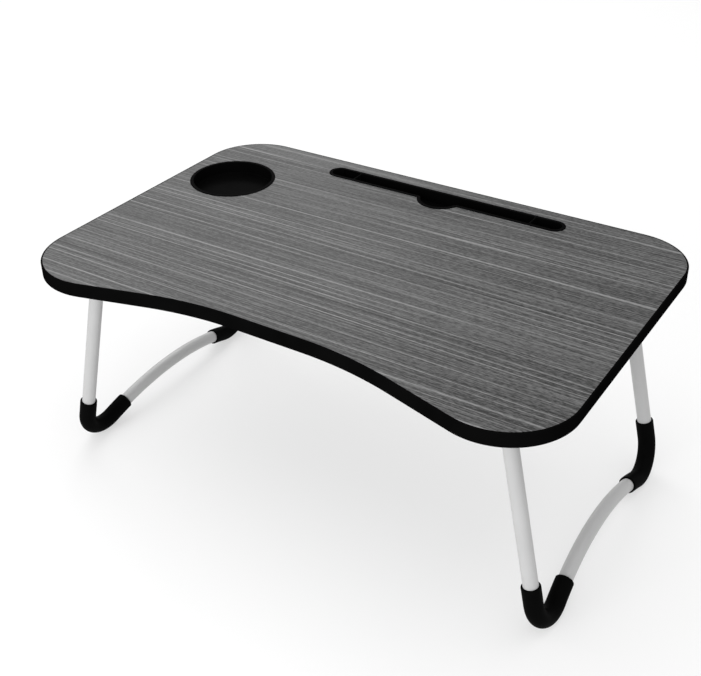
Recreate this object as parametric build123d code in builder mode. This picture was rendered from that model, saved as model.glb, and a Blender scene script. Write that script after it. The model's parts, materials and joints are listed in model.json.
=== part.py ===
from build123d import *
from math import cos, radians, sin, sqrt, tan
import os

# Folding lap desk: a board with a cup recess and a tablet slot on two folding leg frames.
# Millimetres. X runs along the long side, Y from the user to the rear, Z up from the floor.

# Board
board_width = 600.0
board_depth = 400.0
board_thickness = 15.0
table_height = 260.0
laminate_thickness = 0.8
edge_band_thickness = 2.0
edge_band_round = 0.8
front_corner_radius = 70.0
rear_corner_radius = 65.0
front_hollow_depth = 36.0
front_hollow_slope = 15.5
front_hollow_blend_share = 0.565

# Plastic inserts in the board, each hung by its rim on the core
insert_rim_rise = 0.8
insert_rim_width = 2.5
insert_wall = 1.6
insert_floor = 1.6
insert_fit = 0.15
insert_lip_round = 0.5
insert_floor_round = 1.5

# Cup recess, placed from the left and rear edges
cup_rim_radius = 50.5
cup_from_left_edge = 66.0
cup_from_rear_edge = 113.0

# Tablet slot, placed from the rear edge, with a thumb bay at its front and a pen pocket at each end
slot_length = 303.0
slot_width = 26.0
slot_from_rear_edge = 32.5
slot_right_shift = 5.0
thumb_bay_width = 50.0
thumb_bay_reach = 17.0
pen_pocket_length = 34.0
pocket_rib_thickness = 2.0

# Leg frames: hinge places, slants and the bent tube
hinge_from_side_edge = 60.0
hinge_from_long_edge = 57.5
hinge_drop = 16.0
leg_slant = 13.0
post_slant = 2.25
tube_diameter = 15.0
tube_wall = 1.2
tube_past_hinge = 8.0
foot_bend_radius = 31.0
lower_bar_radius = 296.0

# Foot sleeves
sleeve_diameter = 19.2
sleeve_fit = 0.05
sleeve_top_height = 62.5
sleeve_past_bend = 23.8
sleeve_end_round = 1.2
sleeve_end_round_limit_share = 0.8

# End plugs in the tube tops
plug_cap_thickness = 2.0
plug_length = 20.0
plug_fit = 0.05
plug_cap_round = 1.5

# Hinge brackets of sheet steel
bracket_sheet = 2.0
bracket_screw_spacing = 36.0
bracket_past_screw = 8.0
bracket_side_gap = 0.9
bracket_below_pin = 14.0
bracket_ear_inner_reach = 10.0
bracket_ear_round = 5.0
stop_gap = 0.3
stop_height = 5.0

# Hinge pins, riveted over at both ends
pin_diameter = 5.0
pin_running_gap = 0.05
pin_head_diameter = 9.0
pin_head_height = 1.8
pin_head_round = 1.2

# Wood screws
screw_diameter = 3.5
screw_length = 11.0
screw_tip_length = 3.0
screw_head_diameter = 7.0
screw_head_height = 2.0
screw_head_round = 1.2
screw_recess_span = 4.2
screw_recess_width = 0.9
screw_recess_depth = 1.1
screw_fit = 0.05

# Clips that hold the folded frames
clip_from_hinge = 70.0
clip_side_gap = 0.4
clip_arm = 3.0
clip_arm_below_post = 6.0
clip_length = 18.0
clip_foot_thickness = 3.0
clip_screw_spacing = 32.0
clip_past_screw = 6.0
clip_mouth_chamfer = 1.0
clip_foot_corner = 3.0

# How far every cut runs past the piece that it cuts
cut_overrun = 1.0

# Places worked out from the sizes above
half_width = board_width / 2
half_depth = board_depth / 2
underside = table_height - board_thickness
rim_seat = table_height - laminate_thickness
rim_top = table_height + insert_rim_rise
hinge_x = half_width - hinge_from_side_edge
hinge_y = half_depth - hinge_from_long_edge
hinge_z = underside - hinge_drop
tube_radius = tube_diameter / 2
sleeve_radius = sleeve_diameter / 2
sleeve_wall = sleeve_radius - tube_radius - sleeve_fit
pin_radius = pin_diameter / 2
pin_hole_radius = pin_radius + pin_running_gap
screw_radius = screw_diameter / 2
screw_hole_radius = screw_radius + screw_fit
cup_centre = (cup_from_left_edge - half_width, half_depth - cup_from_rear_edge)
slot_centre = (slot_right_shift, half_depth - slot_from_rear_edge)
sides = {"left": -1, "right": 1}
ends = {"front": -1, "rear": 1}

os.makedirs("parts", exist_ok=True)


def save(builder, name):
    """Label a finished piece and write it."""
    builder.part.label = name
    export_step(builder.part, f"parts/{name}.step")


# Outline of the board: a hollowed front between two round lobes
slope_angle = radians(front_hollow_slope)
hollow_y = front_hollow_depth - half_depth
lobe_x = half_width - front_corner_radius
lobe_y = front_corner_radius - half_depth
lobe_start_x = lobe_x - front_corner_radius * sin(slope_angle)
lobe_start_y = lobe_y - front_corner_radius * cos(slope_angle)
hollow_corner_x = lobe_start_x - (hollow_y - lobe_start_y) / tan(slope_angle)
hollow_blend = front_hollow_blend_share * hollow_corner_x
hollow_radius = hollow_blend / tan(slope_angle / 2)
hollow_flat = hollow_corner_x - hollow_blend

with BuildSketch() as board_shape:
    with BuildLine():
        Line((0, hollow_y), (hollow_flat, hollow_y))
        blend = CenterArc((hollow_flat, hollow_y - hollow_radius), hollow_radius, 90, -front_hollow_slope)
        Line(blend @ 1, (lobe_start_x, lobe_start_y))
        lobe_turn = 90 + front_hollow_slope
        lobe = CenterArc((lobe_x, lobe_y), front_corner_radius, -lobe_turn, lobe_turn)
        Line(lobe @ 1, (half_width, half_depth - rear_corner_radius))
        corner_centre = (half_width - rear_corner_radius, half_depth - rear_corner_radius)
        corner = CenterArc(corner_centre, rear_corner_radius, 0, 90)
        Line(corner @ 1, (0, half_depth))
        mirror(about=Plane.YZ)
    make_face()

# Outline of the slot insert's rim: a round-ended slot with the thumb bay in front
bay_front = slot_centre[1] - slot_width / 2 - thumb_bay_reach
bay_left = slot_centre[0] - thumb_bay_width / 2
bay_right = slot_centre[0] + thumb_bay_width / 2
bay_mouth = slot_centre[1] - slot_width / 2

with BuildSketch() as slot_rim_shape:
    with BuildLine():
        bay_arc = ThreePointArc((bay_left, bay_mouth), (slot_centre[0], bay_front), (bay_right, bay_mouth))
        Polyline(bay_arc @ 1, (bay_right, slot_centre[1]), (bay_left, slot_centre[1]), bay_arc @ 0)
    make_face()
    with Locations(slot_centre):
        SlotOverall(slot_length, slot_width)

with BuildSketch() as slot_well_shape:
    add(slot_rim_shape.sketch)
    offset(amount=-insert_rim_width, mode=Mode.REPLACE)

with BuildSketch() as slot_cavity_shape:
    add(slot_well_shape.sketch)
    offset(amount=-insert_wall, mode=Mode.REPLACE)

cup_well_radius = cup_rim_radius - insert_rim_width


def panel_shape(slot_shape, cup_radius):
    """Outline of one layer of the board inside the edge band, open for the two inserts."""
    with BuildSketch(mode=Mode.PRIVATE) as slot_opening:
        add(slot_shape)
        offset(amount=insert_fit, mode=Mode.REPLACE)
    with BuildSketch(mode=Mode.PRIVATE) as panel:
        add(board_shape.sketch)
        offset(amount=-edge_band_thickness, mode=Mode.REPLACE)
        add(slot_opening.sketch, mode=Mode.SUBTRACT)
        with Locations(cup_centre):
            Circle(cup_radius + insert_fit, mode=Mode.SUBTRACT)
    return panel.sketch


# The core and the bottom laminate fit round the wells, and the top laminate round the rims
well_panel = panel_shape(slot_well_shape.sketch, cup_well_radius)
rim_panel = panel_shape(slot_rim_shape.sketch, cup_rim_radius)

# In a leg frame's plane, drops are measured down the slant from the hinge line
hinge_to_floor_line = (hinge_z - sleeve_radius) / cos(radians(leg_slant))
bend_centre_drop = hinge_to_floor_line - foot_bend_radius
post_lean = tan(radians(post_slant))
bend_centre_y = hinge_y + bend_centre_drop * post_lean - foot_bend_radius / cos(radians(post_slant))
arc_centre_spacing = lower_bar_radius + foot_bend_radius
bar_centre_drop = bend_centre_drop + sqrt(arc_centre_spacing**2 - bend_centre_y**2)

# Each folded frame lies as far below the board as the hinges do, held by a clip on its rear post
post_sin = sin(radians(post_slant))
post_cos = cos(radians(post_slant))


def folded_rear_post(side, from_hinge):
    """Place along a folded frame's rear post, seen from above."""
    return side * (hinge_x - from_hinge * post_cos), hinge_y + from_hinge * post_sin


# Screw places under the board
bracket_screw_places = [
    (side * hinge_x + step * bracket_screw_spacing / 2, end * hinge_y)
    for side in sides.values()
    for end in ends.values()
    for step in (-1, 1)
]
clip_screw_places = [
    folded_rear_post(side, clip_from_hinge + step * clip_screw_spacing / 2)
    for side in sides.values()
    for step in (-1, 1)
]

# Board layers
with BuildPart() as board_core:
    with BuildSketch(Plane.XY.offset(underside + laminate_thickness)):
        add(well_panel)
    extrude(amount=board_thickness - 2 * laminate_thickness)
    for places, seat in ((bracket_screw_places, bracket_sheet), (clip_screw_places, clip_foot_thickness)):
        with BuildSketch(Plane.XY.offset(underside)):
            with Locations(*places):
                Circle(screw_hole_radius)
        extrude(amount=screw_length - seat + screw_fit, mode=Mode.SUBTRACT)
save(board_core, "board_core")

with BuildPart() as top_laminate:
    with BuildSketch(Plane.XY.offset(rim_seat)):
        add(rim_panel)
    extrude(amount=laminate_thickness)
save(top_laminate, "top_laminate")

with BuildPart() as bottom_laminate:
    with BuildSketch(Plane.XY.offset(underside)):
        add(well_panel)
        with Locations(*bracket_screw_places, *clip_screw_places):
            Circle(screw_hole_radius, mode=Mode.SUBTRACT)
    extrude(amount=laminate_thickness)
save(bottom_laminate, "bottom_laminate")

with BuildPart() as edge_band:
    with BuildSketch(Plane.XY.offset(underside)):
        add(board_shape.sketch)
        offset(amount=-edge_band_thickness, mode=Mode.SUBTRACT)
    extrude(amount=board_thickness)
    top_edges = edge_band.faces().sort_by(Axis.Z)[-1].outer_wire().edges()
    bottom_edges = edge_band.faces().sort_by(Axis.Z)[0].outer_wire().edges()
    fillet(top_edges + bottom_edges, radius=edge_band_round)
save(edge_band, "edge_band")

# Cup insert: a shallow well whose rim hangs on the core and stands a little above the top
cup_axis = Axis((*cup_centre, 0), (0, 0, 1))
cup_inner_radius = cup_well_radius - insert_wall

with BuildPart() as cup_insert:
    with BuildSketch(Plane((*cup_centre, 0), x_dir=(1, 0, 0), z_dir=(0, -1, 0))):
        with BuildLine():
            Polyline(
                (0, underside),
                (cup_well_radius, underside),
                (cup_well_radius, rim_seat),
                (cup_rim_radius, rim_seat),
                (cup_rim_radius, rim_top),
                (cup_inner_radius, rim_top),
                (cup_inner_radius, underside + insert_floor),
                (0, underside + insert_floor),
                close=True,
            )
        make_face()
    revolve(axis=cup_axis)
    rim_edges = cup_insert.faces().sort_by(Axis.Z)[-1].edges()
    fillet(rim_edges, radius=insert_lip_round)
    cup_floor = cup_insert.faces().filter_by(Axis.Z).sort_by(Axis.Z)[1]
    fillet(cup_floor.edges(), radius=insert_floor_round)
save(cup_insert, "cup_insert")

# Slot insert: one moulding with a tablet slot, a thumb bay and two pen pockets
rib_reach = slot_length / 2 - insert_rim_width - insert_wall - pen_pocket_length
rib_places = [(slot_centre[0] + end * rib_reach, slot_centre[1]) for end in (-1, 1)]
cavity_depth = board_thickness + insert_rim_rise - insert_floor

with BuildPart() as slot_insert:
    with BuildSketch(Plane.XY.offset(underside)):
        add(slot_well_shape.sketch)
    extrude(amount=board_thickness)
    with BuildSketch(Plane.XY.offset(rim_seat)):
        add(slot_rim_shape.sketch)
    extrude(amount=laminate_thickness + insert_rim_rise)
    with BuildSketch(Plane.XY.offset(underside + insert_floor)):
        add(slot_cavity_shape.sketch)
        with Locations(*rib_places):
            Rectangle(pocket_rib_thickness, slot_width, mode=Mode.SUBTRACT)
    extrude(amount=cavity_depth + cut_overrun, mode=Mode.SUBTRACT)
    fillet(slot_insert.faces().sort_by(Axis.Z)[-1].outer_wire().edges(), radius=insert_lip_round)
save(slot_insert, "slot_insert")

# Wood screw with its seat at zero, its head below and its shank above
with BuildPart() as screw:
    with BuildSketch(Plane.XZ):
        with BuildLine():
            Polyline(
                (0, -screw_head_height),
                (screw_head_diameter / 2, -screw_head_height),
                (screw_head_diameter / 2, 0),
                (screw_radius, 0),
                (screw_radius, screw_length - screw_tip_length),
                (0, screw_length),
                close=True,
            )
        make_face()
    revolve(axis=Axis.Z)
    fillet(screw.faces().sort_by(Axis.Z)[0].edges(), radius=screw_head_round)
    with BuildSketch(Plane.XY.offset(-screw_head_height)):
        Rectangle(screw_recess_span, screw_recess_width)
        Rectangle(screw_recess_width, screw_recess_span)
    extrude(amount=screw_recess_depth, mode=Mode.SUBTRACT)

with BuildPart() as bracket_screws:
    with Locations(*[(x, y, underside - bracket_sheet) for x, y in bracket_screw_places]):
        add(screw.part)
save(bracket_screws, "bracket_screws")

with BuildPart() as clip_screws:
    with Locations(*[(x, y, underside - clip_foot_thickness) for x, y in clip_screw_places]):
        add(screw.part)
save(clip_screws, "clip_screws")

# Hinge brackets and pins. In an ear's plane X runs outboard and Y up from the board's underside.
ear_gap = tube_diameter + 2 * bracket_side_gap
bracket_width = ear_gap + 2 * bracket_sheet
bracket_length = bracket_screw_spacing + 2 * bracket_past_screw
ear_drop = hinge_drop + bracket_below_pin
lean = tan(radians(leg_slant))
stop_inner_at_pin = (tube_radius + stop_gap) / cos(radians(leg_slant))
stop_sheet_run = bracket_sheet / cos(radians(leg_slant))


def stop_face(depth):
    """Outboard place of the stop's inner face, at a depth below the underside."""
    return stop_inner_at_pin + (depth - hinge_drop) * lean


for side_name, side in sides.items():
    for end_name, end in ends.items():
        post_top = (side * hinge_x, end * hinge_y, underside)
        middle = Plane(post_top, x_dir=(side, 0, 0), z_dir=(0, -side, 0))

        with BuildPart() as hinge_bracket:
            with BuildSketch(Plane(origin=post_top)):
                SlotOverall(bracket_length, bracket_width)
                with Locations((-bracket_screw_spacing / 2, 0), (bracket_screw_spacing / 2, 0)):
                    Circle(screw_hole_radius, mode=Mode.SUBTRACT)
            extrude(amount=-bracket_sheet)
            for ear in (-1, 1):
                with BuildSketch(middle.offset(ear * ear_gap / 2)) as ear_shape:
                    with BuildLine():
                        Polyline(
                            (-bracket_ear_inner_reach, 0),
                            (-bracket_ear_inner_reach, -ear_drop),
                            (stop_face(ear_drop) + stop_sheet_run, -ear_drop),
                            (stop_face(0) + stop_sheet_run, 0),
                            close=True,
                        )
                    make_face()
                    inner_corner = ear_shape.vertices().group_by(Axis.Y)[0].sort_by(Axis.X)[0]
                    fillet(inner_corner, radius=bracket_ear_round)
                    with Locations((0, -hinge_drop)):
                        Circle(pin_hole_radius, mode=Mode.SUBTRACT)
                extrude(amount=ear * bracket_sheet)
            with BuildSketch(middle):
                with BuildLine():
                    stop_top = ear_drop - stop_height
                    Polyline(
                        (stop_face(ear_drop), -ear_drop),
                        (stop_face(ear_drop) + stop_sheet_run, -ear_drop),
                        (stop_face(stop_top) + stop_sheet_run, -stop_top),
                        (stop_face(stop_top), -stop_top),
                        close=True,
                    )
                make_face()
            extrude(amount=ear_gap / 2 + bracket_sheet, both=True)
        save(hinge_bracket, f"{side_name}_{end_name}_bracket")

        with BuildPart() as hinge_pin:
            with BuildSketch(middle):
                with Locations((0, -hinge_drop)):
                    Circle(pin_radius)
            extrude(amount=bracket_width / 2, both=True)
            for head in (-1, 1):
                with BuildSketch(middle.offset(head * bracket_width / 2)):
                    with Locations((0, -hinge_drop)):
                        Circle(pin_head_diameter / 2)
                extrude(amount=head * pin_head_height)
            faces_along = hinge_pin.faces().sort_by(Axis.Y)
            fillet(faces_along[0].edges() + faces_along[-1].edges(), radius=pin_head_round)
        save(hinge_pin, f"{side_name}_{end_name}_pin")

# Leg frames. In a frame's plane X runs along the desk's depth and Y up the slant from the hinge line.
bend_start_drop = bend_centre_drop - foot_bend_radius * post_sin
bend_start_y = hinge_y + bend_start_drop * post_lean
bend_end_share = lower_bar_radius / arc_centre_spacing
bend_end_y = bend_centre_y * bend_end_share
bend_end_drop = bar_centre_drop - (bar_centre_drop - bend_centre_drop) * bend_end_share
sleeve_top_drop = (hinge_z - sleeve_top_height) / cos(radians(leg_slant))
sleeve_top_y = hinge_y + sleeve_top_drop * post_lean
tube_top_y = hinge_y - tube_past_hinge * post_sin
tube_top_rise = tube_past_hinge * post_cos
plug_radius = tube_radius - tube_wall - plug_fit
sleeve_end_fillet = min(sleeve_end_round, sleeve_end_round_limit_share * sleeve_wall)


def bend_points(end):
    """Start on the post, lowest point and end on the lower bar of one foot bend."""
    start = (end * bend_start_y, -bend_start_drop)
    lowest = (end * bend_centre_y, -hinge_to_floor_line)
    finish = (end * bend_end_y, -bend_end_drop)
    return start, lowest, finish


def bar_point(y):
    """Point of the lower bar's centre line at a place along the desk's depth."""
    return y, sqrt(lower_bar_radius**2 - y**2) - bar_centre_drop


for side_name, side in sides.items():
    slant_sin = sin(radians(leg_slant))
    slant_cos = cos(radians(leg_slant))
    hinge_line = (side * hinge_x, 0, hinge_z)
    frame_plane = Plane(hinge_line, x_dir=(0, 1, 0), z_dir=(slant_cos, 0, side * slant_sin))
    front_bend = bend_points(-1)
    rear_bend = bend_points(1)

    with BuildPart() as leg_tube:
        with BuildLine(frame_plane) as tube_path:
            Line((-tube_top_y, tube_top_rise), front_bend[0])
            ThreePointArc(*front_bend)
            ThreePointArc(front_bend[2], bar_point(0), rear_bend[2])
            ThreePointArc(*reversed(rear_bend))
            Line(rear_bend[0], (tube_top_y, tube_top_rise))
        with BuildSketch(Plane(origin=tube_path.line @ 0, z_dir=tube_path.line % 0)):
            Circle(tube_radius)
            Circle(tube_radius - tube_wall, mode=Mode.SUBTRACT)
        sweep()
        with BuildSketch(Plane.XZ):
            with Locations((side * hinge_x, hinge_z)):
                Circle(pin_hole_radius)
        extrude(amount=half_depth, both=True, mode=Mode.SUBTRACT)
    save(leg_tube, f"{side_name}_leg_tube")

    for end_name, end in ends.items():
        tube_top = frame_plane.from_local_coords((end * tube_top_y, tube_top_rise, 0))
        post_up = frame_plane.y_dir * post_cos - frame_plane.x_dir * (end * post_sin)
        plug_plane = Plane(tube_top, x_dir=frame_plane.z_dir, z_dir=frame_plane.z_dir.cross(post_up))

        with BuildPart() as end_plug:
            with BuildSketch(plug_plane) as plug_profile:
                with BuildLine():
                    Polyline(
                        (0, -plug_length),
                        (plug_radius, -plug_length),
                        (plug_radius, 0),
                        (tube_radius, 0),
                        (tube_radius, plug_cap_thickness),
                        (0, plug_cap_thickness),
                        close=True,
                    )
                make_face()
                cap_corner = plug_profile.vertices().group_by(Axis.Y)[-1].sort_by(Axis.X)[-1]
                fillet(cap_corner, radius=plug_cap_round)
            revolve(axis=Axis(tube_top, post_up))
            with BuildSketch(Plane.XZ):
                with Locations((side * hinge_x, hinge_z)):
                    Circle(pin_hole_radius)
            extrude(amount=half_depth, both=True, mode=Mode.SUBTRACT)
        save(end_plug, f"{side_name}_{end_name}_end_plug")

        bend = bend_points(end)
        sleeve_bar_end = bend_end_y - sleeve_past_bend
        sleeve_bar_middle = bend_end_y - sleeve_past_bend / 2

        with BuildPart() as foot_sleeve:
            with BuildLine(frame_plane) as sleeve_path:
                Line((end * sleeve_top_y, -sleeve_top_drop), bend[0])
                ThreePointArc(*bend)
                ThreePointArc(bend[2], bar_point(end * sleeve_bar_middle), bar_point(end * sleeve_bar_end))
            with BuildSketch(Plane(origin=sleeve_path.line @ 0, z_dir=sleeve_path.line % 0)):
                Circle(sleeve_radius)
                Circle(tube_radius + sleeve_fit, mode=Mode.SUBTRACT)
            sweep()
            sleeve_ends = foot_sleeve.faces().filter_by(GeomType.PLANE)
            end_edges = [edge for face in sleeve_ends for edge in face.outer_wire().edges()]
            fillet(end_edges, radius=sleeve_end_fillet)
        save(foot_sleeve, f"{side_name}_{end_name}_foot_sleeve")

# Clips under the board, one for each folded frame, in line with its rear post
clip_groove_radius = tube_radius + clip_side_gap
clip_width = 2 * (clip_groove_radius + clip_arm)
clip_drop = hinge_drop + clip_arm_below_post
clip_foot_length = clip_screw_spacing + 2 * clip_past_screw

for side_name, side in sides.items():
    clip_top = (*folded_rear_post(side, clip_from_hinge), underside)
    clip_base = Plane(clip_top, x_dir=(-side * post_cos, post_sin, 0))

    with BuildPart() as fold_clip:
        with BuildSketch(Plane(clip_top, x_dir=clip_base.y_dir, z_dir=clip_base.x_dir)) as clip_section:
            Rectangle(clip_width, clip_drop, align=(Align.CENTER, Align.MAX))
            with Locations((0, -hinge_drop)):
                Circle(clip_groove_radius, mode=Mode.SUBTRACT)
                Rectangle(
                    2 * clip_groove_radius,
                    clip_arm_below_post + cut_overrun,
                    align=(Align.CENTER, Align.MAX),
                    mode=Mode.SUBTRACT,
                )
            mouth_corners = clip_section.vertices().group_by(Axis.Y)[0].sort_by(Axis.X)[1:3]
            chamfer(mouth_corners, length=clip_mouth_chamfer)
        extrude(amount=clip_length / 2, both=True)
        with BuildSketch(clip_base):
            RectangleRounded(clip_foot_length, clip_width, clip_foot_corner)
            with Locations((-clip_screw_spacing / 2, 0), (clip_screw_spacing / 2, 0)):
                Circle(screw_hole_radius, mode=Mode.SUBTRACT)
        extrude(amount=-clip_foot_thickness)
    save(fold_clip, f"{side_name}_fold_clip")
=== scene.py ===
import json
from math import asin, cos, pi, radians, sin, sqrt, tan

import bmesh
import bpy
from mathutils import Matrix, Vector

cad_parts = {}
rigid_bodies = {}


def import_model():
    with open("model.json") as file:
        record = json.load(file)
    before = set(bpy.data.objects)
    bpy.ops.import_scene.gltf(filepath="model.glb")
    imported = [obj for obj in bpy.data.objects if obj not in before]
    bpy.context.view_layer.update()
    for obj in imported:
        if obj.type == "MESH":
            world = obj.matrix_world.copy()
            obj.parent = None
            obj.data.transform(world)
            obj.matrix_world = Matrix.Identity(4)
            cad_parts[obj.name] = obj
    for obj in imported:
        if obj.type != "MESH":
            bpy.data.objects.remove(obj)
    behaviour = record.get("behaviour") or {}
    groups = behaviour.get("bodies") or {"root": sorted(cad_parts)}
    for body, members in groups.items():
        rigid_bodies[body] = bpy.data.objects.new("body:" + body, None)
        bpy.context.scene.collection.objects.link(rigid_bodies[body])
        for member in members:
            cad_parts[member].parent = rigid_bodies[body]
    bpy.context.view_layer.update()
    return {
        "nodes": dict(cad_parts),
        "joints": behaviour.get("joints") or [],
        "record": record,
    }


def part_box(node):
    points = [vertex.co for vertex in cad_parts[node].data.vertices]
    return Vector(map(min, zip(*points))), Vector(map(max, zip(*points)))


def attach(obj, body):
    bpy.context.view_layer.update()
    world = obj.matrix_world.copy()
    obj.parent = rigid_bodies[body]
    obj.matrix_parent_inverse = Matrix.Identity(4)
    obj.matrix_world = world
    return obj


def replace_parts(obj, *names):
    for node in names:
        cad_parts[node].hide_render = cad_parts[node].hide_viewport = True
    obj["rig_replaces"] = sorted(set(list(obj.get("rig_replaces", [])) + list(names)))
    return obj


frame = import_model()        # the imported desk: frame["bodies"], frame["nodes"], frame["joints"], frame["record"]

# Folding lap desk with a wood-grain top, a round well and a long slot, on two bent-tube leg frames.
# Metres. X runs along the long side, Y from the user to the rear, Z up from the floor.

# Sizes and places read from the frame
board_low, board_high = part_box("edge_band")
half_width = board_high.x
half_depth = board_high.y
underside = board_low.z
table_top = board_high.z
board_thickness = table_top - underside
laminate_thickness = table_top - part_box("top_laminate")[0].z
cup_low, cup_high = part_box("cup_insert")
cup_centre = (cup_low + cup_high) / 2
cup_rim_radius = (cup_high.x - cup_low.x) / 2
rim_top = cup_high.z
rim_seat = table_top - laminate_thickness
slot_low, slot_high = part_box("slot_insert")
hinges = {joint["child"]: Vector(joint["pos_m"]) for joint in frame["joints"]}
hinge_x = hinges["right_leg"].x
hinge_z = hinges["right_leg"].z
pin_low, pin_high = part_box("right_rear_pin")
hinge_y = (pin_low.y + pin_high.y) / 2
fold_range = radians(max(joint["range_deg"][1] for joint in frame["joints"]))
leg_slant = fold_range - pi / 2

# Board outline and edge band
edge_band_thickness = 0.0020
edge_band_round = 0.0009
front_corner_radius = 0.070
rear_corner_radius = 0.065
front_hollow_depth = 0.036
front_hollow_slope = radians(15.5)
front_hollow_blend_share = 0.565

# Plastic inserts: the round well, and the long slot with a pocket at each end
insert_rim_width = 0.0025
insert_wall = 0.0016
insert_floor = 0.0016
insert_lip_round = 0.0006
insert_floor_round = 0.0015
slot_width = 0.026
thumb_bay_width = 0.050
end_pocket_length = 0.034
pocket_rib_thickness = 0.0020
pocket_corner_radius = 0.0020

# Leg frames and foot sleeves
post_slant = radians(2.25)
tube_radius = 0.0075
tube_wall = 0.0012
tube_past_hinge = 0.008
foot_bend_radius = 0.031
lower_bar_radius = 0.296
sleeve_radius = 0.0096
sleeve_fit = 0.00005
sleeve_top_height = 0.0625
sleeve_past_bend = 0.0238
sleeve_end_round = 0.0012

# Hinge hardware and clips
pin_radius = 0.0025
pin_head_height = 0.0018
sheet_edge_round = 0.00035
clip_edge_round = 0.0006

# Fineness of round forms
corner_steps = 24
hollow_steps = 32
bend_steps = 28
bar_steps = 40
tube_sides = 48
cup_sides = 128
lip_steps = 5
bay_steps = 24
soft_steps = 2

# Finishes: where most of a cloudy pattern's values lie
cloud_span = (0.3, 0.7)

# Floor
floor_half_size = 40.0
floor_tone = 0.35
floor_glow = 0.53

# Camera, as the photograph was taken
camera_place = Vector((0.53972, -0.84519, 0.79885))
camera_yaw = radians(33.187)
camera_pitch = radians(32.518)
camera_roll = radians(0.940)
camera_lens = 56.16
camera_sensor = 36.0

# Turns, directions and limits of the modelling
quarter_turn = pi / 2
half_turn = pi
full_turn = 2 * pi
up = Vector((0, 0, 1))
weld = 0.00001
smooth_angle = radians(40)
flat_angle = radians(0.5)


class Value:
    """One socket of a material's nodes, so that shader maths is written as plain expressions."""

    def __init__(self, paint, socket):
        self.paint = paint
        self.socket = socket

    def math(self, operation, first, second):
        return self.paint.node("ShaderNodeMath", {"operation": operation}, {0: first, 1: second})

    def __add__(self, other):
        return self.math("ADD", self, other)

    def __radd__(self, other):
        return self.math("ADD", other, self)

    def __sub__(self, other):
        return self.math("SUBTRACT", self, other)

    def __rsub__(self, other):
        return self.math("SUBTRACT", other, self)

    def __mul__(self, other):
        return self.math("MULTIPLY", self, other)

    def __rmul__(self, other):
        return self.math("MULTIPLY", other, self)

    def __abs__(self):
        return self.math("ABSOLUTE", self, 0.0)

    def fraction(self):
        return self.math("FRACT", self, 0.0)


class Paint:
    """A finish under construction: its nodes, its shader and patterns on the piece's own coordinates."""

    def __init__(self, name, **constants):
        self.material = bpy.data.materials.new(name)
        self.material.use_nodes = True
        self.tree = self.material.node_tree
        self.shader = self.tree.nodes["Principled BSDF"]
        for socket, value in constants.items():
            self.shader.inputs[socket.replace("_", " ")].default_value = value
        self.place = self.node("ShaderNodeTexCoord", output="Object")

    def node(self, kind, settings=None, inputs=None, output=0):
        """Add one node: its settings first, then the values or links of its sockets."""
        made = self.tree.nodes.new(kind)
        for name, value in (settings or {}).items():
            setattr(made, name, value)
        for socket, value in (inputs or {}).items():
            if isinstance(value, Value):
                self.tree.links.new(value.socket, made.inputs[socket])
            else:
                made.inputs[socket].default_value = value
        return Value(self, made.outputs[output])

    def noise(self, stretch, detail=2.0, roughness=0.5, shift=(0, 0, 0)):
        """Cloudy pattern from 0 to 1, with a stretch of so many clouds a metre along each axis."""
        place = self.node("ShaderNodeMapping", None, {
            "Vector": self.place, "Location": shift, "Scale": stretch,
        })
        return self.node("ShaderNodeTexNoise", None, {
            "Vector": place, "Scale": 1.0, "Detail": detail, "Roughness": roughness,
        })

    def fade(self, value, span, result=(0.0, 1.0)):
        """Value taken from one span to another, smooth and clamped."""
        return self.node("ShaderNodeMapRange", {"interpolation_type": "SMOOTHSTEP"}, {
            "Value": value, "From Min": span[0], "From Max": span[1],
            "To Min": result[0], "To Max": result[1],
        })

    def mix(self, share, first, second):
        """Colour between two colours, by the colour sockets of a Mix node."""
        factor, colour_a, colour_b, colour_out = 0, 6, 7, 2
        sockets = {factor: share, colour_a: first, colour_b: second}
        return self.node("ShaderNodeMix", {"data_type": "RGBA"}, sockets, output=colour_out)

    def feed(self, socket, value):
        """Drive one socket of the shader by a pattern."""
        self.tree.links.new(value.socket, self.shader.inputs[socket])

    def relief(self, height, distance, strength=0.5):
        """Raise and lower the surface by a pattern of heights from 0 to 1 over a distance."""
        self.feed("Normal", self.node("ShaderNodeBump", None, {
            "Height": height, "Distance": distance, "Strength": strength,
        }))


def grey(level):
    """Neutral colour of one linear brightness."""
    return (level, level, level, 1.0)


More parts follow.
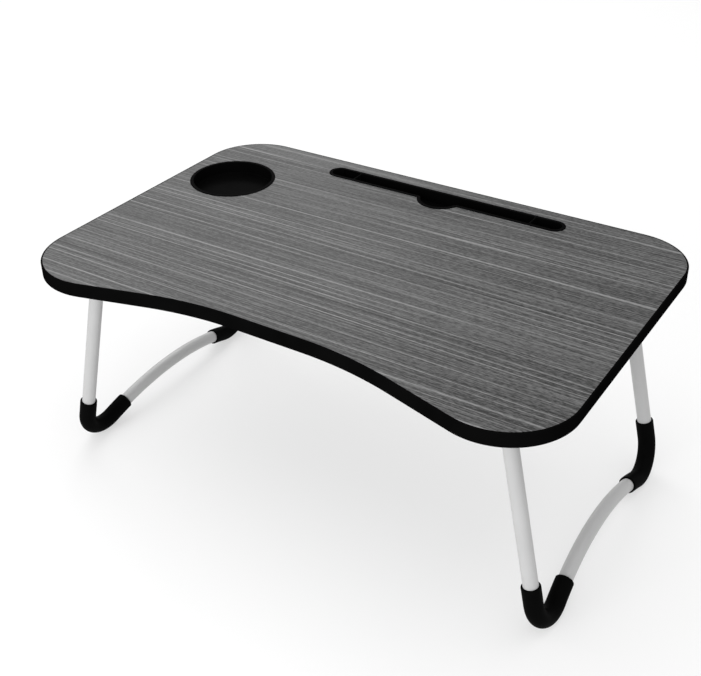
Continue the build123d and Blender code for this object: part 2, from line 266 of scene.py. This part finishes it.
def wood_grain_paint():
    """Dark satin laminate with a fine straight grain along the board."""
    paint = Paint("wood_grain", Specular_IOR_Level=0.25)
    across = paint.node("ShaderNodeSeparateXYZ", None, {0: paint.place}, output="Y")

    def hairlines(spacing, width, shift):
        """Thin lines along the grain, unevenly spaced, that come and go."""
        drift_stretch = (0.4, 0.35 / spacing, 1)
        drift_rows = 4.0
        fading_stretch = (2.2, 1 / spacing, 1)
        fading_span = (0.36, 0.64)
        full_share, clear_share = 0.2, 0.8
        line_edge = (full_share * width / spacing, clear_share * width / spacing)
        drift = paint.noise(drift_stretch, detail=1.0, shift=shift)
        row = (1 / spacing) * across + drift_rows * drift
        offset = abs(row.fraction() - 0.5)
        fading = paint.fade(paint.noise(fading_stretch, detail=1.0, shift=shift), fading_span)
        return fading * paint.fade(offset, line_edge, (1.0, 0.0))

    bands = paint.noise(stretch=(1.2, 55, 1), detail=1.0)
    streaks = paint.noise(stretch=(14, 800, 1), detail=2.0, roughness=0.6, shift=(3.1, 7.7, 0))
    fibres = paint.noise(stretch=(190, 800, 1), detail=2.0, roughness=0.6, shift=(11.3, 2.9, 0))
    band_share, streak_share, fibre_share = 0.12, 0.34, 0.54
    grain_span = (0.41, 0.59)
    grain = paint.fade(band_share * bands + streak_share * streaks + fibre_share * fibres, grain_span)

    fine_light_share, fine_dark_share = 0.5, 0.7
    bold_light_lines = hairlines(spacing=0.0100, width=0.0016, shift=(5.7, 13.1, 0))
    fine_light_lines = hairlines(spacing=0.0047, width=0.0010, shift=(1.9, 23.3, 0))
    bold_dark_lines = hairlines(spacing=0.0085, width=0.0011, shift=(17.9, 4.3, 0))
    fine_dark_lines = hairlines(spacing=0.0043, width=0.0008, shift=(8.3, 31.7, 0))
    light_lines = bold_light_lines + fine_light_share * fine_light_lines
    dark_lines = bold_dark_lines + fine_dark_share * fine_dark_lines

    darkest, grain_lift, light_lift, dark_drop = 0.008, 0.065, 0.11, 0.032
    tone = darkest + grain_lift * grain + light_lift * light_lines - dark_drop * dark_lines
    paint.feed("Base Color", tone)
    satin = (0.42, 0.55)
    paint.feed("Roughness", paint.fade(fibres, cloud_span, satin))
    fibre_relief, streak_relief = 0.6, 0.4
    paint.relief(fibre_relief * fibres + streak_relief * streaks, distance=0.00012)
    return paint.material


def fibreboard_paint():
    """Sawn brown fibreboard of the core."""
    dark_fleck, light_fleck = (0.26, 0.17, 0.10, 1), (0.48, 0.34, 0.21, 1)
    gloss = (0.75, 0.95)
    paint = Paint("fibreboard", Specular_IOR_Level=0.2)
    flecks = paint.noise(stretch=(900, 900, 2500), detail=3.0)
    paint.feed("Base Color", paint.mix(flecks, dark_fleck, light_fleck))
    paint.feed("Roughness", paint.fade(flecks, cloud_span, gloss))
    paint.relief(flecks, distance=0.0002, strength=0.6)
    return paint.material


def backing_paint():
    """Plain dark backing laminate under the board."""
    dark, light = grey(0.012), grey(0.024)
    gloss = (0.52, 0.66)
    pebble_share, cloud_share = 0.5, 0.5
    paint = Paint("backing_laminate", Specular_IOR_Level=0.25)
    pebble = paint.noise(stretch=(1400, 1400, 1400), detail=2.0)
    cloud = paint.noise(stretch=(9, 9, 9), detail=2.0)
    paint.feed("Base Color", paint.mix(pebble_share * pebble + cloud_share * cloud, dark, light))
    paint.feed("Roughness", paint.fade(cloud, cloud_span, gloss))
    paint.relief(pebble, distance=0.00012, strength=0.6)
    return paint.material


def black_plastic_paint(name, tone, shine, gloss, pebble_size, pebble_depth):
    """Black plastic with a fine pebbled skin and a slightly uneven gloss."""
    dark_share, light_share = 0.6, 1.4
    dark, light = grey(dark_share * tone), grey(light_share * tone)
    paint = Paint(name, Specular_IOR_Level=shine)
    pebble = paint.noise(stretch=(1 / pebble_size,) * 3, detail=2.0)
    cloud = paint.noise(stretch=(30, 30, 30), detail=3.0)
    paint.feed("Base Color", paint.mix(cloud, dark, light))
    paint.feed("Roughness", paint.fade(cloud, cloud_span, gloss))
    paint.relief(pebble, pebble_depth)
    return paint.material


def leg_paint():
    """Light silver powder paint with a fine orange-peel skin."""
    dark, light = grey(0.38), grey(0.44)
    gloss = (0.34, 0.46)
    paint = Paint("silver_powder_paint", Specular_IOR_Level=0.45)
    peel = paint.noise(stretch=(420, 420, 420), detail=1.5)
    cloud = paint.noise(stretch=(22, 22, 22), detail=3.0)
    paint.feed("Base Color", paint.mix(cloud, dark, light))
    paint.feed("Roughness", paint.fade(cloud, cloud_span, gloss))
    paint.relief(peel, distance=0.00008)
    return paint.material


def zinc_paint(name, dark, light):
    """Zinc-plated steel with a faint mottled bloom and fine rolling marks."""
    bloom_share, mark_share = 0.6, 0.4
    gloss = (0.28, 0.46)
    paint = Paint(name, Metallic=1.0)
    bloom = paint.noise(stretch=(160, 160, 160), detail=4.0, roughness=0.6)
    marks = paint.noise(stretch=(60, 1800, 1800), detail=2.0)
    paint.feed("Base Color", paint.mix(bloom, grey(dark), grey(light)))
    paint.feed("Roughness", paint.fade(bloom_share * bloom + mark_share * marks, cloud_span, gloss))
    paint.relief(marks, distance=0.00004)
    return paint.material


finishes = {
    "core_board": fibreboard_paint(),
    "wood_grain": wood_grain_paint(),
    "backing": backing_paint(),
    "edge_band": black_plastic_paint(
        "black_edge_band", tone=0.0022, shine=0.0, gloss=(0.74, 0.88),
        pebble_size=0.0010, pebble_depth=0.00006,
    ),
    "insert_plastic": black_plastic_paint(
        "black_insert", tone=0.0018, shine=0.002, gloss=(0.30, 0.42),
        pebble_size=0.0007, pebble_depth=0.00005,
    ),
    "sleeve_rubber": black_plastic_paint(
        "black_sleeve", tone=0.0022, shine=0.006, gloss=(0.46, 0.60),
        pebble_size=0.0009, pebble_depth=0.00008,
    ),
    "plug_plastic": black_plastic_paint(
        "black_plug", tone=0.0040, shine=0.020, gloss=(0.42, 0.56),
        pebble_size=0.0008, pebble_depth=0.00006,
    ),
    "clip_plastic": black_plastic_paint(
        "black_clip", tone=0.0040, shine=0.020, gloss=(0.36, 0.50),
        pebble_size=0.0008, pebble_depth=0.00006,
    ),
    "leg_paint": leg_paint(),
    "bracket_steel": zinc_paint("zinc_sheet", dark=0.52, light=0.68),
    "pin_steel": zinc_paint("zinc_pin", dark=0.55, light=0.70),
    "screw_steel": zinc_paint("zinc_screw", dark=0.50, light=0.66),
}


class Pen:
    """Draws a flat outline of lines and arcs in a bmesh, seen along an axis."""

    def __init__(self, bm, start, axis=up):
        self.bm = bm
        self.axis = axis
        self.first = bmesh.ops.create_vert(bm, co=start)["vert"][0]
        self.tip = self.first
        self.drawn = []

    def line(self, place):
        grown = bmesh.ops.extrude_vert_indiv(self.bm, verts=[self.tip])
        self.tip = grown["verts"][0]
        self.tip.co = place
        self.drawn += grown["edges"]

    def arc(self, centre, turn, steps):
        before = set(self.bm.edges)
        spun = bmesh.ops.spin(
            self.bm, geom=[self.tip], cent=centre, axis=self.axis, dvec=(0, 0, 0), angle=turn,
            steps=steps,
        )
        self.tip = next(piece for piece in spun["geom_last"] if isinstance(piece, bmesh.types.BMVert))
        self.drawn += [edge for edge in self.bm.edges if edge not in before]

    def close(self):
        """Join the tip to the start and give the outline's edges."""
        bmesh.ops.weld_verts(self.bm, targetmap={self.tip: self.first})
        return [edge for edge in self.drawn if edge.is_valid]


def grow(bm, edges, shift):
    """Extrude a loop of edges by a shift and give the new loop."""
    grown = bmesh.ops.extrude_edge_only(bm, edges=edges)["geom"]
    verts = {piece for piece in grown if isinstance(piece, bmesh.types.BMVert)}
    bmesh.ops.translate(bm, verts=list(verts), vec=shift)
    return [edge for edge in bm.edges if edge.verts[0] in verts and edge.verts[1] in verts]


def round_over(bm, edges, radius, steps=lip_steps):
    """Round a set of edges."""
    bmesh.ops.bevel(
        bm, geom=edges, offset=radius, offset_type="OFFSET", segments=steps, profile=0.5,
        affect="EDGES", material=-1, clamp_overlap=True,
    )


def sharp_edges(bm, at_height):
    """Edges at one height between a level face and an upright one."""
    def level(face):
        return abs(face.normal.z) > cos(smooth_angle)

    bm.normal_update()
    return [
        edge for edge in bm.edges
        if all(abs(vert.co.z - at_height) < weld for vert in edge.verts)
        and len(edge.link_faces) == 2
        and level(edge.link_faces[0]) != level(edge.link_faces[1])
    ]


def make_piece(bm, name, body, slot, *nodes):
    """Turn a bmesh into a finished piece on a body, in place of CAD nodes."""
    bmesh.ops.remove_doubles(bm, verts=bm.verts, dist=weld)
    bmesh.ops.recalc_face_normals(bm, faces=bm.faces)
    mesh = bpy.data.meshes.new(name)
    bm.to_mesh(mesh)
    bm.free()
    mesh.shade_smooth()
    mesh.set_sharp_from_angle(angle=smooth_angle)
    mesh.materials.append(finishes[slot])
    piece = bpy.data.objects.new(name, mesh)
    bpy.context.scene.collection.objects.link(piece)
    piece.modifiers.new("even_shading", "WEIGHTED_NORMAL").keep_sharp = True
    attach(piece, body)
    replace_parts(piece, *nodes)


def board_outline(bm):
    """Outline of the board at its underside: a hollowed front between two round lobes."""
    slope = front_hollow_slope
    hollow_y = front_hollow_depth - half_depth
    lobe = Vector((half_width - front_corner_radius, front_corner_radius - half_depth, underside))
    lobe_start = lobe - front_corner_radius * Vector((sin(slope), cos(slope), 0))
    hollow_corner_x = lobe_start.x - (hollow_y - lobe_start.y) / tan(slope)
    blend = front_hollow_blend_share * hollow_corner_x
    flat_end = Vector((hollow_corner_x - blend, hollow_y, underside))
    hollow_centre = flat_end - Vector((0, blend / tan(slope / 2), 0))
    corner = Vector((half_width - rear_corner_radius, half_depth - rear_corner_radius, underside))
    pen = Pen(bm, (0, hollow_y, underside))
    pen.line(flat_end)
    pen.arc(hollow_centre, -slope, hollow_steps)
    pen.line(lobe_start)
    pen.arc(lobe, quarter_turn + slope, corner_steps)
    pen.line((half_width, corner.y, underside))
    pen.arc(corner, quarter_turn, corner_steps)
    pen.line((0, half_depth, underside))
    bmesh.ops.mirror(bm, geom=[*bm.verts, *bm.edges], axis="X", merge_dist=weld)
    bmesh.ops.remove_doubles(bm, verts=bm.verts, dist=weld)
    return bm.edges[:]


def make_edge_band():
    """Black band round the board's edge, rounded at top and bottom."""
    bm = bmesh.new()
    face = bmesh.ops.contextual_create(bm, geom=board_outline(bm))["faces"]
    block = bmesh.ops.extrude_face_region(bm, geom=face)["geom"]
    lifted = [part for part in block if isinstance(part, bmesh.types.BMVert)]
    bmesh.ops.translate(bm, verts=lifted, vec=(0, 0, board_thickness))
    bmesh.ops.recalc_face_normals(bm, faces=bm.faces)
    round_over(bm, sharp_edges(bm, underside) + sharp_edges(bm, table_top), edge_band_round)
    quad = 4
    caps = [cap for cap in bm.faces if len(cap.verts) > quad]
    flat_width = edge_band_thickness - edge_band_round
    bmesh.ops.inset_region(bm, faces=caps, thickness=flat_width, use_even_offset=True)
    bmesh.ops.delete(bm, geom=caps, context="FACES_ONLY")
    bmesh.ops.bridge_loops(bm, edges=[edge for edge in bm.edges if edge.is_boundary])
    make_piece(bm, "edge_band_trim", "board", "edge_band", "edge_band")


def make_cup_insert():
    """Shallow round well with a rolled rim."""
    well_radius = cup_rim_radius - insert_rim_width
    inner_radius = well_radius - insert_wall
    floor_z = underside + insert_floor
    lip = insert_lip_round
    middle = Vector((cup_centre.x, cup_centre.y, 0))

    def at(radius, height):
        return middle + Vector((radius, 0, height))

    bm = bmesh.new()
    pen = Pen(bm, at(0, floor_z), axis=Vector((0, -1, 0)))
    pen.line(at(inner_radius - insert_floor_round, floor_z))
    pen.arc(at(inner_radius - insert_floor_round, floor_z + insert_floor_round), quarter_turn, lip_steps)
    pen.line(at(inner_radius, rim_top - lip))
    pen.arc(at(inner_radius + lip, rim_top - lip), -quarter_turn, lip_steps)
    pen.line(at(cup_rim_radius - lip, rim_top))
    pen.arc(at(cup_rim_radius - lip, rim_top - lip), -quarter_turn, lip_steps)
    pen.line(at(cup_rim_radius, rim_seat))
    pen.line(at(well_radius, rim_seat))
    pen.line(at(well_radius, underside))
    pen.line(at(0, underside))
    bmesh.ops.spin(
        bm, geom=bm.edges[:], cent=middle, axis=up, dvec=(0, 0, 0), angle=full_turn, steps=cup_sides,
        use_merge=True,
    )
    make_piece(bm, "cup_well", "board", "insert_plastic", "cup_insert")


class SlotPlan:
    """Plan of the long slot: round-ended, with a thumb bay in front, drawn at any inset."""

    def __init__(self):
        self.rear = slot_high.y
        self.front = self.rear - slot_width
        self.middle = (slot_low.x + slot_high.x) / 2
        self.left_centre = Vector((slot_low.x + slot_width / 2, self.rear - slot_width / 2, 0))
        self.right_centre = Vector((slot_high.x - slot_width / 2, self.rear - slot_width / 2, 0))
        bay_reach = self.front - slot_low.y
        half_bay = thumb_bay_width / 2
        self.bay_radius = (half_bay**2 + bay_reach**2) / (2 * bay_reach)
        self.bay_centre = Vector((self.middle, slot_low.y + self.bay_radius, 0))
        self.bay_left = Vector((self.middle - half_bay, self.front, 0))
        self.bay_right = Vector((self.middle + half_bay, self.front, 0))
        self.mouth_turn = asin(half_bay / self.bay_radius)

    def bay(self, pen, inset, height):
        """The thumb bay from left to right, starting at the left of its mouth."""
        lift = height * up
        if inset:
            pen.arc(self.bay_left + lift, -self.mouth_turn, lip_steps)
        pen.arc(self.bay_centre + lift, 2 * self.mouth_turn, bay_steps)
        if inset:
            pen.arc(self.bay_right + lift, -self.mouth_turn, lip_steps)

    def whole(self, bm, inset, height):
        """The whole slot and bay."""
        front = Vector((0, self.front + inset, height))
        rear = Vector((0, self.rear - inset, height))
        pen = Pen(bm, front + Vector((self.bay_right.x, 0, 0)))
        pen.line(front + Vector((self.right_centre.x, 0, 0)))
        pen.arc(self.right_centre + height * up, half_turn, corner_steps)
        pen.line(rear + Vector((self.left_centre.x, 0, 0)))
        pen.arc(self.left_centre + height * up, half_turn, corner_steps)
        pen.line(front + Vector((self.bay_left.x, 0, 0)))
        self.bay(pen, inset, height)
        return pen.close()

    def rib(self, end):
        """Place along X of a rib's middle, at the left (-1) or right (1) end."""
        half_length = (slot_high.x - slot_low.x) / 2
        return self.middle + end * (half_length - insert_rim_width - insert_wall - end_pocket_length)

    def corner(self, pen, place, turned, height):
        """A pocket's rounded corner: a line to it, then a quarter turn to the left."""
        centre = Vector((*place, height)) + pocket_corner_radius * Vector((*turned, 0))
        along = Vector((turned[0], 0, 0)) if turned[0] * turned[1] < 0 else Vector((0, turned[1], 0))
        pen.line(Vector((*place, height)) + pocket_corner_radius * along)
        pen.arc(centre, quarter_turn, lip_steps)

    def middle_pocket(self, bm, inset, height):
        """The pocket between the ribs, with the thumb bay."""
        front = self.front + inset
        rear = self.rear - inset
        left = self.rib(-1) + pocket_rib_thickness / 2
        right = self.rib(1) - pocket_rib_thickness / 2
        pen = Pen(bm, (self.bay_right.x, front, height))
        self.corner(pen, (right, front), (-1, 1), height)
        self.corner(pen, (right, rear), (-1, -1), height)
        self.corner(pen, (left, rear), (1, -1), height)
        self.corner(pen, (left, front), (1, 1), height)
        pen.line((self.bay_left.x, front, height))
        self.bay(pen, inset, height)
        return pen.close()

    def end_pocket(self, bm, end, inset, height):
        """The round-ended pocket at the left (-1) or right (1) end."""
        front = self.front + inset
        rear = self.rear - inset
        wall = self.rib(end) + end * pocket_rib_thickness / 2
        if end > 0:
            pen = Pen(bm, (self.right_centre.x, front, height))
            pen.arc(self.right_centre + height * up, half_turn, corner_steps)
            self.corner(pen, (wall, rear), (1, -1), height)
            self.corner(pen, (wall, front), (1, 1), height)
            pen.line((self.right_centre.x, front, height))
        else:
            pen = Pen(bm, (self.left_centre.x, rear, height))
            pen.arc(self.left_centre + height * up, half_turn, corner_steps)
            self.corner(pen, (wall, front), (-1, 1), height)
            self.corner(pen, (wall, rear), (-1, -1), height)
            pen.line((self.left_centre.x, rear, height))
        return pen.close()


def make_slot_insert():
    """One moulding with the long slot, its thumb bay and a round-ended pocket at each end."""
    plan = SlotPlan()
    floor_z = underside + insert_floor
    pocket_inset = insert_rim_width + insert_wall
    bm = bmesh.new()
    rim = plan.whole(bm, 0, rim_top)
    pockets = [plan.end_pocket(bm, end, pocket_inset, rim_top) for end in (-1, 1)]
    pockets.append(plan.middle_pocket(bm, pocket_inset, rim_top))
    bmesh.ops.triangle_fill(bm, use_beauty=True, edges=bm.edges, normal=up)
    for pocket in pockets:
        bottom = grow(bm, pocket, (0, 0, floor_z - rim_top))
        bmesh.ops.contextual_create(bm, geom=bottom)
    rim_foot = grow(bm, rim, (0, 0, rim_seat - rim_top))
    well = plan.whole(bm, insert_rim_width, rim_seat)
    bmesh.ops.bridge_loops(bm, edges=rim_foot + well)
    bmesh.ops.contextual_create(bm, geom=grow(bm, well, (0, 0, underside - rim_seat)))
    bmesh.ops.recalc_face_normals(bm, faces=bm.faces)
    round_over(bm, sharp_edges(bm, rim_top), insert_lip_round)
    round_over(bm, sharp_edges(bm, floor_z), insert_floor_round)
    make_piece(bm, "slot_tray", "board", "insert_plastic", "slot_insert")


class LegFrame:
    """Path of a leg frame's tube in its own plane: X along the desk's depth, Y up from the hinge."""

    def __init__(self):
        self.floor_drop = (hinge_z - sleeve_radius) / cos(leg_slant)
        self.bend_drop = self.floor_drop - foot_bend_radius
        self.bend_y = hinge_y + self.bend_drop * tan(post_slant) - foot_bend_radius / cos(post_slant)
        centre_distance = lower_bar_radius + foot_bend_radius
        self.bar_drop = self.bend_drop + sqrt(centre_distance**2 - self.bend_y**2)
        self.bar_slope = asin(self.bend_y / centre_distance)
        self.bend_turn = quarter_turn + self.bar_slope + post_slant
        self.down = Vector((sin(post_slant), -cos(post_slant), 0))
        self.hinge = Vector((hinge_y, 0, 0))
        bend_start_drop = self.bend_drop - foot_bend_radius * sin(post_slant)
        self.post_length = bend_start_drop / cos(post_slant)

    def bend_centre(self, end):
        return Vector((end * self.bend_y, -self.bend_drop, 0))

    def bar_centre(self):
        return Vector((0, -self.bar_drop, 0))

    def to_desk(self):
        """Turn from the right frame's plane to the desk."""
        outward = Vector((cos(leg_slant), 0, sin(leg_slant)))
        climb = Vector((-sin(leg_slant), 0, cos(leg_slant)))
        along = Vector((0, 1, 0))
        turn = Matrix((along, climb, outward)).transposed().to_4x4()
        return Matrix.Translation((hinge_x, 0, hinge_z)) @ turn


class Bender:
    """Draws a round tube ring by ring along straight runs and flat bends."""

    def __init__(self, radius, start, heading):
        self.bm = bmesh.new()
        facing = heading.to_track_quat("Z", "Y").to_matrix().to_4x4()
        placed = Matrix.Translation(start) @ facing
        bmesh.ops.create_circle(self.bm, segments=tube_sides, radius=radius, matrix=placed)
        self.ring = self.bm.edges[:]

    def straight(self, run):
        self.ring = grow(self.bm, self.ring, run)

    def bend(self, centre, turn, steps):
        spun = bmesh.ops.spin(
            self.bm, geom=self.ring, cent=centre, axis=up, dvec=(0, 0, 0), angle=turn, steps=steps,
        )
        self.ring = [part for part in spun["geom_last"] if isinstance(part, bmesh.types.BMEdge)]

    def wall(self, thickness):
        """Give the tube an inner wall."""
        bmesh.ops.recalc_face_normals(self.bm, faces=self.bm.faces)
        bmesh.ops.solidify(self.bm, geom=self.bm.faces[:], thickness=thickness)


def mirrored(bm, side, end=1):
    """Carry a piece of the right rear corner to another corner."""
    bmesh.ops.scale(bm, vec=(side, end, 1), verts=bm.verts)


def make_leg_tube(leg, side_name, side):
    """Bent tube of one leg frame: post, foot bend, arched lower bar, foot bend, post."""
    tube = Bender(tube_radius, leg.hinge - tube_past_hinge * leg.down, leg.down)
    tube.straight((tube_past_hinge + leg.post_length) * leg.down)
    tube.bend(leg.bend_centre(1), -leg.bend_turn, bend_steps)
    tube.bend(leg.bar_centre(), 2 * leg.bar_slope, bar_steps)
    tube.bend(leg.bend_centre(-1), -leg.bend_turn, bend_steps)
    upward = Vector((leg.down.x, -leg.down.y, 0))
    tube.straight((tube_past_hinge + leg.post_length) * upward)
    tube.wall(tube_wall)
    bmesh.ops.transform(tube.bm, matrix=leg.to_desk(), verts=tube.bm.verts)
    mirrored(tube.bm, side)
    body = f"{side_name}_leg"
    make_piece(tube.bm, f"{side_name}_bent_tube", body, "leg_paint", f"{side_name}_leg_tube")


def make_foot_sleeve(leg, side_name, side, end_name, end):
    """Soft black sleeve drawn over a foot bend."""
    sleeve_top_drop = (hinge_z - sleeve_top_height) / cos(leg_slant)
    above_bend = leg.post_length - sleeve_top_drop / cos(post_slant)
    bend_end_y = lower_bar_radius * sin(leg.bar_slope)
    bar_turn = leg.bar_slope - asin((bend_end_y - sleeve_past_bend) / lower_bar_radius)
    start = leg.hinge + (leg.post_length - above_bend) * leg.down
    sleeve = Bender(sleeve_radius, start, leg.down)
    sleeve.straight(above_bend * leg.down)
    sleeve.bend(leg.bend_centre(1), -leg.bend_turn, bend_steps)
    sleeve.bend(leg.bar_centre(), bar_turn, lip_steps)
    rims = [edge for edge in sleeve.bm.edges if edge.is_boundary]
    sleeve.wall(sleeve_radius - tube_radius - sleeve_fit)
    round_over(sleeve.bm, [edge for edge in rims if edge.is_valid], sleeve_end_round)
    bmesh.ops.transform(sleeve.bm, matrix=leg.to_desk(), verts=sleeve.bm.verts)
    mirrored(sleeve.bm, side, end)
    body = f"{side_name}_leg"
    place = f"{side_name}_{end_name}"
    make_piece(sleeve.bm, f"{place}_foot_boot", body, "sleeve_rubber", f"{place}_foot_sleeve")


def make_softened(node, name, body, slot, radius):
    """Copy of a CAD node with its sharp edges broken, as stamping or moulding leaves them."""
    bm = bmesh.new()
    bm.from_mesh(frame["nodes"][node].data)
    bmesh.ops.remove_doubles(bm, verts=bm.verts, dist=weld)
    bmesh.ops.dissolve_limit(
        bm, angle_limit=flat_angle, use_dissolve_boundaries=False, verts=bm.verts, edges=bm.edges,
        delimit=set(),
    )
    corners = [edge for edge in bm.edges if edge.calc_face_angle(0) > smooth_angle]
    round_over(bm, corners, radius, soft_steps)
    make_piece(bm, name, body, slot, node)


def make_hinge_pin(side_name, end_name):
    """Riveted pin with a domed head at each end."""
    node = f"{side_name}_{end_name}_pin"
    low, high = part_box(node)
    middle = (low + high) / 2
    half_length = (high.y - low.y) / 2
    head_radius = (high.x - low.x) / 2
    dome_radius = (head_radius**2 + pin_head_height**2) / (2 * pin_head_height)
    dome_turn = asin(head_radius / dome_radius)
    neck = half_length - pin_head_height
    bm = bmesh.new()
    pen = Pen(bm, middle + Vector((0, -half_length, 0)))
    pen.arc(middle + Vector((0, dome_radius - half_length, 0)), dome_turn, lip_steps)
    pen.line(middle + Vector((pin_radius, -neck, 0)))
    pen.line(middle + Vector((pin_radius, neck, 0)))
    pen.line(middle + Vector((head_radius, neck, 0)))
    pen.arc(middle + Vector((0, half_length - dome_radius, 0)), dome_turn, lip_steps)
    bmesh.ops.spin(
        bm, geom=bm.edges[:], cent=middle, axis=(0, 1, 0), dvec=(0, 0, 0), angle=full_turn,
        steps=tube_sides, use_merge=True,
    )
    make_piece(bm, f"{side_name}_{end_name}_rivet", "board", "pin_steel", node)


def dress_cad_nodes():
    """Give the CAD nodes that stay their finishes."""
    replaced = {node for piece in bpy.data.objects for node in piece.get("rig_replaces", [])}
    for part in frame["record"]["subparts"]:
        if part["node"] not in replaced:
            frame["nodes"][part["node"]].material_slots[0].material = finishes[part["material_slot"]]


def make_floor():
    """Plain pale floor, with a faint glow that keeps its shadows light."""
    bm = bmesh.new()
    bmesh.ops.create_grid(bm, x_segments=1, y_segments=1, size=floor_half_size)
    mesh = bpy.data.meshes.new("floor")
    bm.to_mesh(mesh)
    bm.free()
    paint = Paint(
        "pale_floor", Base_Color=grey(floor_tone), Roughness=0.9, Specular_IOR_Level=0.0,
        Emission_Color=grey(1.0), Emission_Strength=floor_glow,
    )
    mesh.materials.append(paint.material)
    floor = bpy.data.objects.new("floor", mesh)
    bpy.context.scene.collection.objects.link(floor)


def make_softbox(name, place, target, size, power, spread=half_turn, glare=True):
    """Square soft lamp turned to a point of the desk, mirrored in the pieces only if it may glare."""
    lamp = bpy.data.lights.new(name, "AREA")
    lamp.size = size
    lamp.energy = power
    lamp.spread = spread
    softbox = bpy.data.objects.new(name, lamp)
    softbox.location = place
    softbox.rotation_euler = (Vector(target) - Vector(place)).to_track_quat("-Z", "Y").to_euler()
    softbox.visible_glossy = glare
    bpy.context.scene.collection.objects.link(softbox)


def make_sky(strength):
    """Even white light from all round."""
    world = bpy.data.worlds.new("studio")
    world.use_nodes = True
    sky = world.node_tree.nodes["Background"]
    sky.inputs["Color"].default_value = grey(1.0)
    sky.inputs["Strength"].default_value = strength
    bpy.context.scene.world = world


def make_camera():
    """Camera where the photograph was taken from."""
    lens = bpy.data.cameras.new("camera")
    lens.lens = camera_lens
    lens.sensor_width = camera_sensor
    lens.sensor_fit = "HORIZONTAL"
    camera = bpy.data.objects.new("camera", lens)
    turn = Matrix.Rotation(camera_yaw, 4, "Z") @ Matrix.Rotation(quarter_turn - camera_pitch, 4, "X")
    roll = Matrix.Rotation(-camera_roll, 4, "Z")
    camera.matrix_world = Matrix.Translation(camera_place) @ turn @ roll
    bpy.context.scene.collection.objects.link(camera)
    bpy.context.scene.camera = camera


make_edge_band()
make_cup_insert()
make_slot_insert()
leg = LegFrame()
for side_name, side in (("left", -1), ("right", 1)):
    make_leg_tube(leg, side_name, side)
    for end_name, end in (("front", -1), ("rear", 1)):
        make_foot_sleeve(leg, side_name, side, end_name, end)
        make_hinge_pin(side_name, end_name)
        bracket = f"{side_name}_{end_name}_bracket"
        make_softened(bracket, f"{bracket}_stamping", "board", "bracket_steel", sheet_edge_round)
    clip = f"{side_name}_fold_clip"
    make_softened(clip, f"{clip}_moulding", "board", "clip_plastic", clip_edge_round)
dress_cad_nodes()
make_floor()
make_softbox("rear_left_softbox", place=(-2.0, 1.8, 2.4), target=(0, 0, 0.25), size=2.0, power=36)
make_softbox("overhead_softbox", place=(0.1, 0.0, 3.0), target=(0.1, 0.0, 0), size=3.2, power=34)
make_softbox(
    "front_softbox", place=(0.0, -1.3, 0.60), target=(0.0, 0.0, 0.15), size=0.9, power=5.2,
    spread=radians(110), glare=False,
)
make_sky(strength=0.87)
make_camera()
bpy.context.scene.view_settings.view_transform = "Standard"
